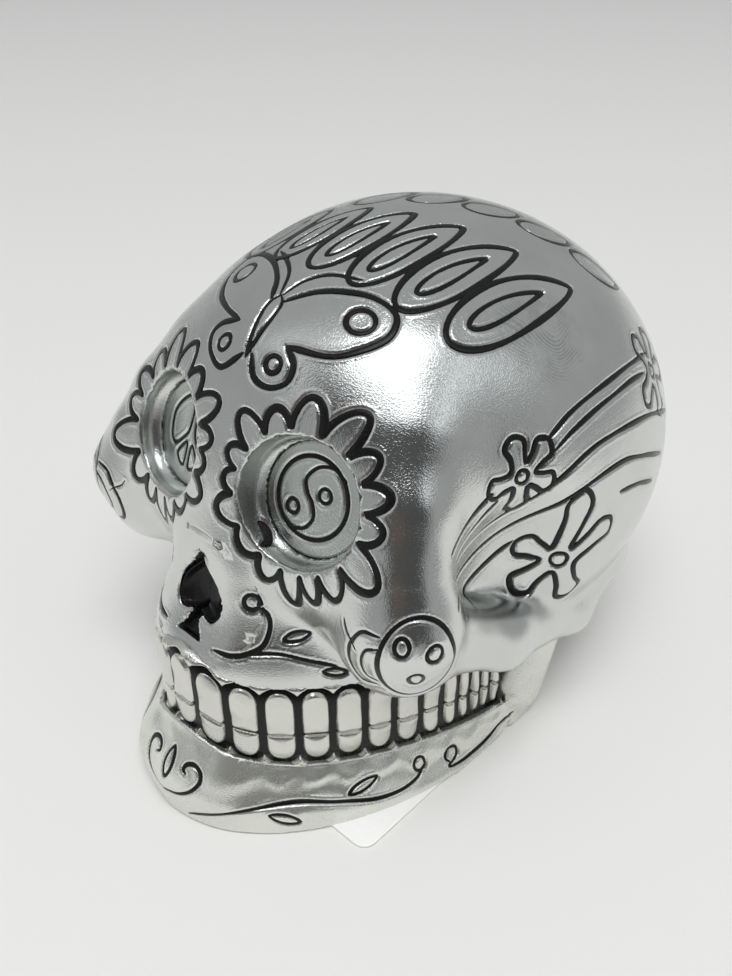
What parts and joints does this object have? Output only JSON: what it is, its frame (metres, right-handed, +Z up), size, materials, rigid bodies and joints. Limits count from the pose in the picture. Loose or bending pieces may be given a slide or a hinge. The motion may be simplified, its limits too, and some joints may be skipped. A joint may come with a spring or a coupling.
{
  "type": "sugar skull ornament",
  "caption": "Small chrome-plated sugar skull ornament with engraved black-filled line work, round eye dishes and a full row of teeth, standing on its jaw.",
  "frame": {"origin": "middle of the footprint, on the ground under the skull", "axes": "+Z up, the face looks along -Y, the skull's left side is +X"},
  "size_m": [0.0668, 0.0901, 0.0722],
  "materials": {
    "chrome": "mirror plating with a fine grain",
    "jaw_chrome": "softer satin plating",
    "enamel": "gloss black fill",
    "paper": "matt white"
  },
  "bodies": {
    "root": {"cranium": "chrome", "mandible": "jaw_chrome", "upper_teeth": "jaw_chrome", "lower_teeth": "jaw_chrome", "left_eye_disc": "chrome", "right_eye_disc": "chrome", "nose_inlay": "enamel", "label": "paper"}
  },
  "joints": []
}
